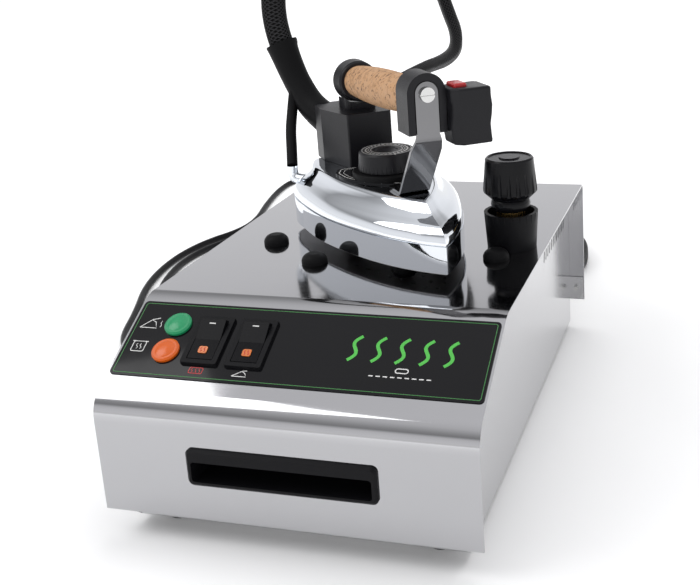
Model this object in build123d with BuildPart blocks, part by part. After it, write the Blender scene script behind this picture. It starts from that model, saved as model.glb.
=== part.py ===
from build123d import *
from math import atan2, cos, degrees, hypot, pi, radians, sin, tan
import os

# Steam generator iron: a boiler cabinet that carries a professional iron on its deck.
# Millimetres. X to the right seen from the front, Y to the rear, Z up. Z = 0 is the table.

os.makedirs("parts", exist_ok=True)

# ---------------------------------------------------------------- driving dimensions
COVER_W = 250.0            # folded stainless cover, side to side
FRONT_Y = -202.5           # outer face of the cover's front
REAR_Y = 182.5             # outer face of the cover's rear flap
DECK = 134.5               # top of the deck above the table
FRONT_BOTTOM = 17.5        # lower edge of the cover's front
FLAP_BOTTOM = 26.5         # lower edge of the cover's rear flap
SLOPE_Z = 92.3             # height of the fold between front and control slope
SLOPE_RUN = 80.5           # depth of the control slope
SHEET = 1.5                # cover sheet
TRAY_SHEET = 1.2           # tray sheet
TRAY_HALF = 112.0          # half width over the tray's side walls
TRAY_Z = 5.5               # underside of the tray
FOOT_R = 11.0
REACH_Y = 205.5            # furthest the rear glands and the front bezel reach from Y = 0

IRON_ANGLE = 37.6          # heading of the iron on the deck, degrees from the Y axis
IRON_TIP = (75.8, -81.2)   # the sole's tip
IRON_L = 207.0
IRON_HALF = 57.0
STUD_H = 7.2               # rest studs above the deck
SOLE_Z = 7.5               # sole above the deck: the studs' height and a hair of clearance
SEAM_Z = 27.4              # seam between skirt and top cover, above the deck
COVER_TOP = 51.0           # flat top of the iron's cover, above the deck

FILLER = (99.6, 9.0)       # centre of the boiler filler
FILLER_PITCH = 1.814       # G 1/2 thread
LAMP_U = -91.0
LAMP_V = (11.7, -10.0)
ROCKER_U = (-64.4, -33.9)
BEZEL = (26.0, 39.0)       # rocker switch bezel
ROCKER = (17.4, 31.0)
WELL = (18.2, 32.0)

HOSE = (20.0, 10.5)        # flat twin hose: steam tube and cable side by side in one sleeve
CORD_D = 7.0

slope_len = hypot(SLOPE_RUN, DECK - SLOPE_Z)
slope_deg = degrees(atan2(DECK - SLOPE_Z, SLOPE_RUN))
UP_SLOPE = (0, cos(radians(slope_deg)), sin(radians(slope_deg)))
SLOPE_NORMAL = (0, -sin(radians(slope_deg)), cos(radians(slope_deg)))
LABEL_MID = 53.0           # middle of the label, along the slope from the lower fold
PANEL = Plane(
    origin=(0, FRONT_Y + LABEL_MID * UP_SLOPE[1], SLOPE_Z + LABEL_MID * UP_SLOPE[2]),
    x_dir=(1, 0, 0),
    z_dir=SLOPE_NORMAL,
)
LABEL = (246.6, 61.2)

# Iron frame: local x runs from the tip to the rear, local y to the left of someone
# who looks at the tip, z up from the deck.
heading = radians(IRON_ANGLE)
IRON = Plane(origin=(*IRON_TIP, DECK), x_dir=(-sin(heading), cos(heading), 0), z_dir=(0, 0, 1))


def on_iron(x, y, z):
    """A point of the iron frame, in the part's frame."""
    return IRON.from_local_coords(Vector(x, y, z))


def iron_plane(x, y, z, x_dir, z_dir):
    """A plane placed and turned in the iron frame."""
    origin = on_iron(x, y, z)
    return Plane(
        origin=origin,
        x_dir=on_iron(x + x_dir[0], y + x_dir[1], z + x_dir[2]) - origin,
        z_dir=on_iron(x + z_dir[0], y + z_dir[1], z + z_dir[2]) - origin,
    )


def save(builder, name):
    builder.part.label = name
    export_step(builder.part, f"parts/{name}.step")


# ---------------------------------------------------------------- cabinet
SIDE_PROFILE = [
    (FRONT_Y, FRONT_BOTTOM),
    (FRONT_Y, SLOPE_Z),
    (FRONT_Y + SLOPE_RUN, DECK),
    (REAR_Y, DECK),
    (REAR_Y, FLAP_BOTTOM),
]
FOLD_RADII = [20.0, 30.0, 5.0]
HANDLE_Z = 54.6            # middle of the front pull handle
HANDLE = (125.0, 25.0)     # outside of its bezel
GRIP_HOLE = (118.0, 13.5)  # its finger opening
GRIP_DEPTH = 22.0
HOSE_PORT = (62.0, 58.0)   # X and Z of the hose gland on the rear flap
CORD_PORT = (-85.0, 48.0)  # X and Z of the mains gland on the rear flap
COVER_SCREWS = [(-118.0, 38.0), (118.0, 38.0), (-60.0, 118.0), (60.0, 118.0)]
STUDS = [(-81, -8), (94.5, -21), (-34, -46.5), (34, -46.5), (-38, 45), (38, 45)]

with BuildPart() as cover_shell:
    with BuildSketch(Plane.YZ):
        with BuildLine():
            FilletPolyline(*SIDE_PROFILE, radius=FOLD_RADII)
            offset(amount=SHEET, side=Side.RIGHT)
        make_face()
    extrude(amount=COVER_W / 2, both=True)
    with BuildSketch(Plane.XZ.offset(-FRONT_Y - 10)):
        with Locations((0, HANDLE_Z)):
            RectangleRounded(HANDLE[0] - 3, HANDLE[1] - 3, 3)
    extrude(amount=20, mode=Mode.SUBTRACT)
    with BuildSketch(PANEL.offset(5)):
        with Locations(*[(u, 0) for u in ROCKER_U]):
            Rectangle(22.2, 34.2)
        with Locations(*[(LAMP_U, v) for v in LAMP_V]):
            Circle(6.3)
    extrude(amount=-15, mode=Mode.SUBTRACT)
    with BuildSketch(Plane.XY.offset(DECK + 2)):
        with Locations(FILLER):
            Circle(10.6)
        with Locations(*STUDS):
            Circle(3.1)
    extrude(amount=-6, mode=Mode.SUBTRACT)
    with BuildSketch(Plane.XZ.offset(-REAR_Y - 4)):
        with Locations(HOSE_PORT):
            Circle(12.2)
        with Locations(CORD_PORT):
            Circle(8.2)
        with Locations(*COVER_SCREWS):
            Circle(2.1)
    extrude(amount=10, mode=Mode.SUBTRACT)
save(cover_shell, "cover_shell")

# The tray closes the bottom and both sides. Its walls stand inside the cover's edges.
GAP = 0.3
wall_front = FRONT_Y + SHEET + GAP
wall_rear = REAR_Y - SHEET - GAP
wall_top = DECK - SHEET - GAP
TRAY_FRONT = FRONT_Y + 16.0
TRAY_PROFILE = [
    (TRAY_FRONT, TRAY_Z),
    (wall_front, FRONT_BOTTOM + 1),
    (wall_front, SLOPE_Z - 2.2),
    (FRONT_Y + SLOPE_RUN + 0.7, wall_top),
    (wall_rear, wall_top),
    (wall_rear, TRAY_Z),
]
VENTS = 12
with BuildPart() as chassis_tray:
    with BuildSketch(Plane.YZ):
        with BuildLine():
            FilletPolyline(*TRAY_PROFILE, radius=[2, 21, 30, 4])
            Line(TRAY_PROFILE[-1], TRAY_PROFILE[0])
        make_face()
    extrude(amount=TRAY_HALF, both=True)
    inner_len = wall_rear - TRAY_FRONT - 2 * TRAY_SHEET
    with Locations((0, (wall_rear + TRAY_FRONT) / 2, TRAY_Z + TRAY_SHEET + 100)):
        Box(2 * (TRAY_HALF - TRAY_SHEET), inner_len, 200, mode=Mode.SUBTRACT)
    with Locations((0, 0, 26.0 + 100)):
        Box(2 * (TRAY_HALF - TRAY_SHEET), 500, 200, mode=Mode.SUBTRACT)
    with Locations((0, TRAY_FRONT - 9.0, 60)):
        Box(2 * (TRAY_HALF - TRAY_SHEET), 18, 120, mode=Mode.SUBTRACT)
    for side in (-1, 1):
        with Locations((side * (TRAY_HALF + 6.0), wall_rear - 0.6, 38)):
            Box(13.0, 1.2, 20)
        with Locations((side * 118.0, wall_rear - 0.6, 38)):
            Cylinder(2.1, 10, rotation=(90, 0, 0), mode=Mode.SUBTRACT)
    with BuildSketch(Plane.YZ.offset(-TRAY_HALF - 5)):
        with GridLocations(8.0, 1, VENTS, 1):
            with Locations((REAR_Y - 70.0, 112.0)):
                Rectangle(2.6, 22.0, rotation=-20)
    extrude(amount=2 * TRAY_HALF + 10, mode=Mode.SUBTRACT)
    with BuildSketch():
        with Locations((0, -10)):
            with GridLocations(180, 320, 2, 2):
                Circle(3.0)
    extrude(amount=10, mode=Mode.SUBTRACT)
save(chassis_tray, "chassis_tray")

with BuildPart() as feet:
    with Locations((0, -10, 0)):
        with GridLocations(180, 320, 2, 2):
            Cone(FOOT_R - 1.5, FOOT_R, TRAY_Z, align=(Align.CENTER, Align.CENTER, Align.MIN))
            with Locations((0, 0, TRAY_Z)):
                Cylinder(2.9, 3.0, align=(Align.CENTER, Align.CENTER, Align.MIN))
save(feet, "feet")

with BuildPart() as rest_studs:
    for x, y in STUDS:
        with BuildSketch(Plane(origin=(x, y, DECK), x_dir=(1, 0, 0), z_dir=(0, -1, 0))):
            with BuildLine():
                Polyline((0, -5), (3.9, -5), (3.9, -1.7), (2.9, -1.7), (2.9, 0), (9.4, 0), (9.4, 2))
                ThreePointArc((9.4, 2), (7.6, 5.4), (4.0, STUD_H))
                Polyline((4.0, STUD_H), (0, STUD_H), (0, -5))
            make_face()
        revolve(axis=Axis((x, y, 0), (0, 0, 1)))
save(rest_studs, "rest_studs")

with BuildPart() as cover_screws:
    for x, z in COVER_SCREWS:
        with BuildSketch(Plane(origin=(x, REAR_Y, z), x_dir=(1, 0, 0), z_dir=(0, 0, 1))):
            with BuildLine():
                Polyline((0, 2.2), (2.6, 2.2), (3.9, 0.9), (3.9, 0), (2.0, 0), (2.0, -7), (0, -7), (0, 2.2))
            make_face()
        revolve(axis=Axis((x, 0, z), (0, 1, 0)))
        with Locations((x, REAR_Y + 2.2, z)):
            Box(3.6, 2.4, 0.8, mode=Mode.SUBTRACT)
            Box(0.8, 2.4, 3.6, mode=Mode.SUBTRACT)
save(cover_screws, "cover_screws")

with BuildPart() as pull_handle:
    bezel_plane = Plane(origin=(0, FRONT_Y, HANDLE_Z), x_dir=(1, 0, 0), z_dir=(0, -1, 0))
    with BuildSketch(bezel_plane):
        RectangleRounded(*HANDLE, 4)
    extrude(amount=3)
    chamfer(faces().sort_by(Axis.Y)[0].edges(), 1.8)
    with BuildSketch(bezel_plane):
        RectangleRounded(HANDLE[0] - 3.6, HANDLE[1] - 3.6, 3)
    extrude(amount=-GRIP_DEPTH)
    with BuildSketch(bezel_plane.offset(4)):
        with Locations((0, -2.4)):
            RectangleRounded(*GRIP_HOLE, 2)
    extrude(amount=-(GRIP_DEPTH + 2), mode=Mode.SUBTRACT)
save(pull_handle, "pull_handle")

# ---------------------------------------------------------------- control panel
with BuildPart() as control_label:
    with BuildSketch(PANEL.offset(0.02)):
        RectangleRounded(*LABEL, 3)
        with Locations(*[(u, 0) for u in ROCKER_U]):
            Rectangle(22.4, 34.4, mode=Mode.SUBTRACT)
        with Locations(*[(LAMP_U, v) for v in LAMP_V]):
            Circle(6.4, mode=Mode.SUBTRACT)
    extrude(amount=0.6)
save(control_label, "control_label")

middles = [
    Plane(origin=PANEL.from_local_coords(Vector(u, 0, 0)), x_dir=(1, 0, 0), z_dir=SLOPE_NORMAL)
    for u in ROCKER_U
]
with BuildPart() as switch_housings:
    for middle in middles:
        with BuildSketch(middle.offset(0.7)):
            RectangleRounded(*BEZEL, 2)
        extrude(amount=2.2, taper=12)
        with BuildSketch(middle.offset(0.7)):
            Rectangle(21.8, 33.8)
        extrude(amount=-25)
        with BuildSketch(middle.offset(5)):
            Rectangle(*WELL)
        extrude(amount=-17, mode=Mode.SUBTRACT)
        with BuildSketch(middle.offset(-24.3)):
            with GridLocations(10, 12, 2, 2):
                Rectangle(0.8, 6.3)
        extrude(amount=-9)
save(switch_housings, "switch_housings")

for name, middle in zip(("boiler", "iron"), middles):
    # The rocker turns about an axis 1.5 mm under the panel. Its ends are arcs about that axis.
    side_plane = Plane(
        origin=middle.from_local_coords(Vector(-ROCKER[0] / 2, 0, 0)),
        x_dir=UP_SLOPE,
        z_dir=(1, 0, 0),
    )
    with BuildPart() as rocker:
        with BuildSketch(side_plane):
            Circle(ROCKER[1] / 2)
            with BuildSketch(mode=Mode.INTERSECT):
                with BuildLine():
                    Polyline((-20, -6), (20, -6), (20, 7.6), (0, 3.0), (-20, 2.5), (-20, -6))
                make_face()
        extrude(amount=ROCKER[0])
        fillet(rocker.edges().filter_by(Axis.X).sort_by(Axis.Z)[-3:], 0.5)
    window_plane = Plane(
        origin=middle.from_local_coords(Vector(0, -8.5, 2.87)),
        x_dir=(1, 0, 0),
        z_dir=(Vector(*SLOPE_NORMAL) - Vector(*UP_SLOPE) * 0.025).normalized(),
    )
    with BuildPart() as window:
        with BuildSketch(window_plane):
            RectangleRounded(6.0, 5.2, 1.2)
        extrude(amount=0.5)
    save(rocker, f"{name}_rocker")
    save(window, f"{name}_rocker_window")

for name, v in zip(("green", "orange"), LAMP_V):
    seat = PANEL.from_local_coords(Vector(LAMP_U, v, 0.7))
    lamp_plane = Plane(origin=seat, x_dir=UP_SLOPE, z_dir=(1, 0, 0))
    with BuildPart() as lens:
        with BuildSketch(lamp_plane):
            with BuildLine():
                Polyline((0.8, 3.6), (0, 3.6), (0, -24), (6.0, -24), (6.0, 0), (9.2, 0), (9.2, 1.5), (8.0, 2.4), (6.6, 2.4))
                ThreePointArc((6.6, 2.4), (3.8, 3.3), (0.8, 3.6))
            make_face()
        revolve(axis=Axis(seat, SLOPE_NORMAL))
    save(lens, f"{name}_lamp")

# ---------------------------------------------------------------- boiler filler
NECK_TOP = 28.0
with BuildPart() as filler_collar:
    with BuildSketch(Plane(origin=(*FILLER, DECK), x_dir=(1, 0, 0), z_dir=(0, -1, 0))):
        with BuildLine():
            Polyline((11.4, 0.1), (18.0, 0.1), (19.7, 26.8), (17.2, 26.8), (15.8, 3.0), (11.4, 3.0), (11.4, 0.1))
        make_face()
    revolve(axis=Axis((*FILLER, 0), (0, 0, 1)))
    with Locations((*FILLER, DECK + 14)):
        with PolarLocations(19.9, 24):
            Cylinder(0.7, 30, mode=Mode.SUBTRACT)
save(filler_collar, "filler_collar")

TANK_TOP = 118.0
with BuildPart() as filler_cap:
    with BuildSketch(Plane(origin=(*FILLER, DECK), x_dir=(1, 0, 0), z_dir=(0, -1, 0))):
        with BuildLine():
            Polyline((0, 12.2), (7.8, 12.2), (7.8, NECK_TOP + 0.3), (12.6, NECK_TOP + 0.3))
            ThreePointArc((12.6, NECK_TOP + 0.3), (14.4, 32.8), (12.6, 37.2))
            Polyline((12.6, 37.2), (14.5, 37.2), (19.5, 42.0), (19.6, 44.0), (17.6, 66.0), (16.4, 67.2),
                     (15.4, 67.2), (15.0, 66.4), (7.6, 66.4), (7.2, 67.3), (0, 67.3), (0, 12.2))
        make_face()
    revolve(axis=Axis((*FILLER, 0), (0, 0, 1)))
    with Locations((*FILLER, DECK + 55)):
        with PolarLocations(19.9, 18):
            Cylinder(1.6, 40, mode=Mode.SUBTRACT)
save(filler_cap, "filler_cap")

with BuildPart() as cap_seal:
    with Locations((*FILLER, DECK + 8.0)):
        Cylinder(7.7, 4.0, align=(Align.CENTER, Align.CENTER, Align.MIN))
save(cap_seal, "cap_seal")

# ---------------------------------------------------------------- inside the cabinet
TANK_R = 52.0
TANK_X = 12.0
TANK_Y = 30.0
TANK_L = 176.0
TANK_Z = 60.5
WALL = 2.0
with BuildPart() as boiler_tank:
    with Locations((TANK_X, TANK_Y, TANK_Z)):
        Cylinder(TANK_R, TANK_L, rotation=(90, 0, 0))
        Cylinder(TANK_R - WALL, TANK_L - 2 * WALL, rotation=(90, 0, 0), mode=Mode.SUBTRACT)
    with Locations((TANK_X, TANK_Y - TANK_L / 2, TANK_Z - 14)):
        Cylinder(17.5, 10, rotation=(90, 0, 0), mode=Mode.SUBTRACT)
save(boiler_tank, "boiler_tank")

# A bent copper pipe takes the filler's water into the tank's side.
with BuildPart() as filler_neck:
    with BuildSketch(Plane(origin=(*FILLER, DECK), x_dir=(1, 0, 0), z_dir=(0, -1, 0))):
        with BuildLine():
            Polyline((6.1, -9.0), (10.4, -9.0), (10.4, 0.1), (11.3, 0.1), (11.3, 3.2), (10.4, 3.2), (10.4, NECK_TOP),
                     (8.0, NECK_TOP), (8.0, 7.5), (6.1, 7.5), (6.1, -9.0))
        make_face()
    revolve(axis=Axis((*FILLER, 0), (0, 0, 1)))
save(filler_neck, "filler_neck")


def pipe(path_points, radii, radius, bore=0.0):
    """A round pipe along straight runs joined by tangent arcs."""
    with BuildPart() as made:
        with BuildLine() as route:
            FilletPolyline(*path_points, radius=radii)
        with BuildSketch(Plane(origin=route.line @ 0, z_dir=route.line % 0)):
            Circle(radius)
            if bore:
                Circle(bore, mode=Mode.SUBTRACT)
        sweep()
    return made


fill_end = (TANK_X + 48.0, FILLER[1], TANK_Z + 14.0)
filler_pipe = pipe(
    [(*FILLER, DECK - 9.1), (FILLER[0], FILLER[1], fill_end[2]), fill_end], [14.0], 6.0, 4.8
)
save(filler_pipe, "filler_pipe")

ELEMENT_Z = TANK_Z - 14
FLANGE_Y = TANK_Y - TANK_L / 2
with BuildPart() as boiler_element:
    with Locations((TANK_X, FLANGE_Y - 2.2, ELEMENT_Z)):
        Cylinder(24.0, 4.0, rotation=(90, 0, 0))
    for dx in (-9.0, 9.0):
        with Locations((TANK_X + dx, FLANGE_Y - 10.0, ELEMENT_Z)):
            Cylinder(3.4, 14.0, rotation=(90, 0, 0))
    with BuildLine() as loop:
        FilletPolyline(
            (TANK_X - 9, FLANGE_Y - 1, ELEMENT_Z),
            (TANK_X - 9, FLANGE_Y + 140, ELEMENT_Z),
            (TANK_X + 9, FLANGE_Y + 140, ELEMENT_Z),
            (TANK_X + 9, FLANGE_Y - 1, ELEMENT_Z),
            radius=8.5,
        )
    with BuildSketch(Plane(origin=loop.line @ 0, z_dir=loop.line % 0)):
        Circle(4.0)
    sweep()
save(boiler_element, "boiler_element")

with BuildPart() as boiler_saddles:
    for y in (TANK_Y - 50, TANK_Y + 50):
        with BuildSketch(Plane(origin=(TANK_X, y, 0), x_dir=(1, 0, 0), z_dir=(0, 1, 0))):
            with Locations((0, -24.0)):
                Rectangle(96, 34)
            with Locations((0, -TANK_Z)):
                Circle(TANK_R + 0.3, mode=Mode.SUBTRACT)
        extrude(amount=3.0)
save(boiler_saddles, "boiler_saddles")

VALVE = (-75.0, 110.0, 70.0)
with BuildPart() as valve_body:
    with Locations(VALVE):
        Box(30, 30, 24)
        Cylinder(5.2, 40, mode=Mode.SUBTRACT)
        with Locations((0, -19, -4)):
            Cylinder(6.5, 9, rotation=(90, 0, 0))
        with Locations((0, 19, -4)):
            Cylinder(6.5, 9, rotation=(90, 0, 0))
save(valve_body, "valve_body")

with BuildPart() as valve_coil:
    with Locations((VALVE[0], VALVE[1], VALVE[2] + 12.2)):
        Box(28, 32, 34, align=(Align.CENTER, Align.CENTER, Align.MIN))
        Cylinder(5.2, 32, align=(Align.CENTER, Align.CENTER, Align.MIN), mode=Mode.SUBTRACT)
    fillet(valve_coil.edges().filter_by(Axis.Z), 4)
save(valve_coil, "valve_coil")

PLUNGER_Z = VALVE[2] - 6.0
with BuildPart() as valve_plunger:
    with Locations((VALVE[0], VALVE[1], PLUNGER_Z)):
        Cylinder(5.0, 34, align=(Align.CENTER, Align.CENTER, Align.MIN))
save(valve_plunger, "valve_plunger")

with BuildPart() as valve_spring:
    spring_base = (VALVE[0], VALVE[1], PLUNGER_Z + 34.8)
    with BuildLine(Plane(origin=spring_base)) as coil_line:
        Helix(pitch=2.4, height=VALVE[2] + 43.6 - spring_base[2], radius=3.4)
    with BuildSketch(Plane(origin=coil_line.line @ 0, z_dir=coil_line.line % 0)):
        Circle(0.45)
    sweep(is_frenet=True)
save(valve_spring, "valve_spring")

steam_in = (VALVE[0], VALVE[1] - 23.6, VALVE[2] - 4)
steam_pipe = pipe(
    [
        (TANK_X - 20.0, TANK_Y - 10, TANK_Z + TANK_R - 2.6),
        (TANK_X - 20.0, TANK_Y - 10, TANK_Z + TANK_R + 12.0),
        (VALVE[0], TANK_Y - 10, TANK_Z + TANK_R + 12.0),
        (VALVE[0], TANK_Y - 10, steam_in[2]),
        steam_in,
    ],
    [9.0, 12.0, 14.0],
    4.0,
    3.0,
)
save(steam_pipe, "steam_pipe")

with BuildPart() as pressure_switch:
    with Locations((TANK_X + 20, TANK_Y + 50, TANK_Z + TANK_R - 0.6)):
        Cylinder(5.0, 6.4, align=(Align.CENTER, Align.CENTER, Align.MIN))
        with Locations((0, 0, 6.4)):
            Cylinder(14.0, 8.0, align=(Align.CENTER, Align.CENTER, Align.MIN))
save(pressure_switch, "pressure_switch")

with BuildPart() as safety_thermostat:
    with Locations((TANK_X, FLANGE_Y - 0.2, TANK_Z + 26)):
        Cylinder(8.0, 9.0, rotation=(90, 0, 0), align=(Align.CENTER, Align.CENTER, Align.MIN))
        with Locations((0, -10.5, 0)):
            with GridLocations(8, 1, 2, 1):
                Box(0.8, 7, 5)
save(safety_thermostat, "safety_thermostat")

with BuildPart() as terminal_block:
    with Locations((-88.0, 20.0, TRAY_Z + TRAY_SHEET + 0.1)):
        Box(24, 60, 16, align=(Align.CENTER, Align.CENTER, Align.MIN))
        with Locations((0, 0, 16)):
            with GridLocations(11, 14, 2, 4):
                Cylinder(2.6, 5, mode=Mode.SUBTRACT)
save(terminal_block, "terminal_block")

# ---------------------------------------------------------------- rear glands


def gland(x, z, shank, flange, tip, bore, label_name):
    """A strain relief on the rear flap: shank, flange inside and out, ribbed taper."""
    rear = REAR_Y
    with BuildPart() as made:
        with BuildSketch(Plane(origin=(x, 0, z), x_dir=(1, 0, 0), z_dir=(0, 0, 1))):
            with BuildLine():
                Polyline(
                    (bore, rear - 8), (shank + 2, rear - 8), (shank + 2, rear - SHEET - 0.1), (shank, rear - SHEET - 0.1),
                    (shank, rear + 0.1), (flange, rear + 0.1), (flange, rear + 3), (flange - 2, rear + 4),
                    (tip, REACH_Y), (bore, REACH_Y), (bore, rear - 8),
                )
            make_face()
        revolve(axis=Axis((x, 0, z), (0, 1, 0)))
    save(made, label_name)


gland(*CORD_PORT, 8.0, 10.5, 5.2, CORD_D / 2 + 0.05, "cord_gland")
gland(*HOSE_PORT, 12.0, 16.0, 13.0, 10.1, "hose_gland")

# ---------------------------------------------------------------- iron: sole and body


def iron_outline(tip, rear, half, corner=16.0):
    """The boat-shaped outline of the iron, tip at low x, round rear corners."""
    length = rear - tip
    flank = [(0.1, 0.300), (0.25, 0.606), (0.5, 0.905), (0.74, 1.0)]
    with BuildLine() as line:
        side = Spline(
            (tip, 0),
            *[(tip + t * length, h * half) for t, h in flank],
            tangents=((0.72, 0.69), (1, 0)),
        )
        end = ThreePointArc(side @ 1, (rear - 0.13 * length, 0.985 * half), (rear - corner, 0.93 * half))
        ThreePointArc(end @ 1, (rear - 0.26 * corner, 0.93 * half - 0.36 * corner), (rear, 0.93 * half - corner))
        Line((rear, 0.93 * half - corner), (rear, 0))
        mirror(about=Plane.XZ)
    return make_face(line.edges(), mode=Mode.PRIVATE)


def outline_part(bottom, height, tip, rear, half, hole=None):
    """A slab of the iron's outline, with an optional inner outline cut out."""
    with BuildPart() as made:
        with BuildSketch(IRON.offset(bottom)):
            add(iron_outline(tip, rear, half))
            if hole:
                add(iron_outline(*hole), mode=Mode.SUBTRACT)
        extrude(amount=height)
    return made


SOLE_T = 5.0
with BuildPart() as sole_plate:
    with BuildSketch(IRON.offset(SOLE_Z)):
        add(iron_outline(2.4, IRON_L - 1.4, IRON_HALF - 1.4))
    extrude(amount=SOLE_T)
    with BuildSketch(IRON.offset(SOLE_Z)):
        with Locations(*[(26 + 11 * i, side * (7 + 4.6 * i)) for i in range(7) for side in (-1, 1)]):
            Circle(1.5)
        with Locations((20, 0), (34, 0), (48, 0)):
            Circle(1.5)
    extrude(amount=3.0, mode=Mode.SUBTRACT)
save(sole_plate, "sole_plate")

BLOCK_Z = SOLE_Z + SOLE_T + 0.1
heater_block = outline_part(BLOCK_Z, 8.0, 14, IRON_L - 12, IRON_HALF - 10)
save(heater_block, "heater_block")

with BuildPart() as heating_rod:
    with BuildLine(IRON.offset(BLOCK_Z + 8.0 + 3.7)) as rod_line:
        FilletPolyline((186, 26), (96, 30), (38, 7), (38, -7), (96, -30), (186, -26), radius=[60, 6.6, 6.6, 60])
    with BuildSketch(Plane(origin=rod_line.line @ 0, z_dir=rod_line.line % 0)):
        Circle(3.6)
    sweep()
save(heating_rod, "heating_rod")

SKIRT_Z = SOLE_Z + 1.0
with BuildPart() as iron_skirt:
    with BuildSketch(IRON.offset(SKIRT_Z)):
        add(iron_outline(0.0, IRON_L, IRON_HALF))
        add(iron_outline(1.8, IRON_L - 0.9, IRON_HALF - 0.9), mode=Mode.SUBTRACT)
    extrude(amount=SEAM_Z - SKIRT_Z)
save(iron_skirt, "iron_skirt")

COVER_LEVELS = [
    (SEAM_Z + 0.1, 0.6, IRON_L - 0.6, IRON_HALF - 0.5),
    (36.0, 5.5, IRON_L - 1.8, IRON_HALF - 3.4),
    (45.0, 18.0, IRON_L - 5.0, IRON_HALF - 10.0),
    (COVER_TOP, 35.0, IRON_L - 9.0, IRON_HALF - 17.5),
]
with BuildPart() as iron_cover:
    for z, tip, rear, half in COVER_LEVELS:
        with BuildSketch(IRON.offset(z)):
            add(iron_outline(tip, rear, half))
    loft(ruled=False)
    for z, tip, rear, half in COVER_LEVELS:
        with BuildSketch(IRON.offset(z - 1.6 if z > SEAM_Z + 1 else z - 0.5)):
            add(iron_outline(tip + 3.0, rear - 1.5, half - 1.6))
    loft(ruled=False, mode=Mode.SUBTRACT)
    with BuildSketch(IRON.offset(COVER_TOP + 3)):
        with Locations((112, 0)):
            Circle(4.4)
        with Locations((70, 0)):
            Circle(2.2)
    extrude(amount=-8, mode=Mode.SUBTRACT)
save(iron_cover, "iron_cover")

BADGE_Z = COVER_TOP + 0.05
with BuildPart() as badge_plate:
    with BuildSketch(IRON.offset(BADGE_Z)):
        add(iron_outline(80, 147.5, 33.0, corner=6.0))
        with Locations((112, 0)):
            Circle(4.4, mode=Mode.SUBTRACT)
    extrude(amount=1.2)
save(badge_plate, "badge_plate")

DIAL_X = 112.0
DIAL_TOP = 71.5
with BuildPart() as dial_base:
    with Locations(IRON.offset(BADGE_Z + 1.25)):
        with Locations((DIAL_X, 0)):
            Cylinder(26.5, 4.6, align=(Align.CENTER, Align.CENTER, Align.MIN))
            Cylinder(4.4, 10, align=(Align.CENTER, Align.CENTER, Align.MIN), mode=Mode.SUBTRACT)
    fillet(faces().sort_by(Axis.Z)[-1].edges().sort_by(SortBy.LENGTH)[-1], 1.5)
save(dial_base, "dial_base")

DIAL_Z = BADGE_Z + 1.25 + 4.6 + 0.5
dial_centre = on_iron(DIAL_X, 0, 0)
with BuildPart() as dial_knob:
    with BuildSketch(iron_plane(DIAL_X, 0, 0, (1, 0, 0), (0, -1, 0))):
        with BuildLine():
            Polyline((3.3, DIAL_Z), (21.6, DIAL_Z), (21.6, DIAL_Z + 2.5), (20.8, DIAL_TOP - 1.4), (19.6, DIAL_TOP),
                     (18.2, DIAL_TOP), (17.8, DIAL_TOP - 0.5), (8.4, DIAL_TOP - 0.5), (8.0, DIAL_TOP - 0.9),
                     (0, DIAL_TOP - 0.9), (0, DIAL_TOP - 4), (3.3, DIAL_TOP - 4), (3.3, DIAL_Z))
        make_face()
    revolve(axis=Axis(dial_centre, (0, 0, 1)))
    with Locations(dial_centre + Vector(0, 0, DIAL_Z + 7)):
        with PolarLocations(22.2, 40):
            Cylinder(0.9, 30, mode=Mode.SUBTRACT)
save(dial_knob, "dial_knob")

with BuildPart() as dial_spindle:
    with Locations(dial_centre + Vector(0, 0, 45.0)):
        Cylinder(3.2, DIAL_TOP - 4.1 - 45.0, align=(Align.CENTER, Align.CENTER, Align.MIN))
save(dial_spindle, "dial_spindle")

with BuildPart() as iron_thermostat:
    with Locations(IRON.offset(BLOCK_Z + 8.05)):
        with Locations((DIAL_X, 0)):
            Box(34, 20, 22.0, align=(Align.CENTER, Align.CENTER, Align.MIN))
save(iron_thermostat, "iron_thermostat")

# ---------------------------------------------------------------- iron: handle
GRIP_FRONT = (45.0, 121.5)   # x and z of the grip's axis at its front end
GRIP_REAR = (168.0, 114.0)
grip_len = hypot(GRIP_REAR[0] - GRIP_FRONT[0], GRIP_REAR[1] - GRIP_FRONT[1])
grip_dir = ((GRIP_REAR[0] - GRIP_FRONT[0]) / grip_len, 0, (GRIP_REAR[1] - GRIP_FRONT[1]) / grip_len)
GRIP = iron_plane(GRIP_FRONT[0], 0, GRIP_FRONT[1], (0, 1, 0), grip_dir)
grip_axis = Axis(GRIP.origin, GRIP.z_dir)
GRIP_SIDE = Plane(origin=GRIP.origin, x_dir=GRIP.z_dir, z_dir=GRIP.x_dir)

with BuildPart() as cork_grip:
    with BuildSketch(GRIP_SIDE):
        with BuildLine():
            Line((0, 4.3), (0, 11.6))
            Spline((0, 11.6), (26, 13.2), (62, 14.0), (98, 13.4), (grip_len, 12.0))
            Polyline((grip_len, 12.0), (grip_len, 4.3), (0, 4.3))
        make_face()
    revolve(axis=grip_axis)
save(cork_grip, "cork_grip")

with BuildPart() as handle_rod:
    with BuildSketch(GRIP.offset(-20.0)):
        Circle(4.2)
    extrude(amount=grip_len + 36.0)
save(handle_rod, "handle_rod")

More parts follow.
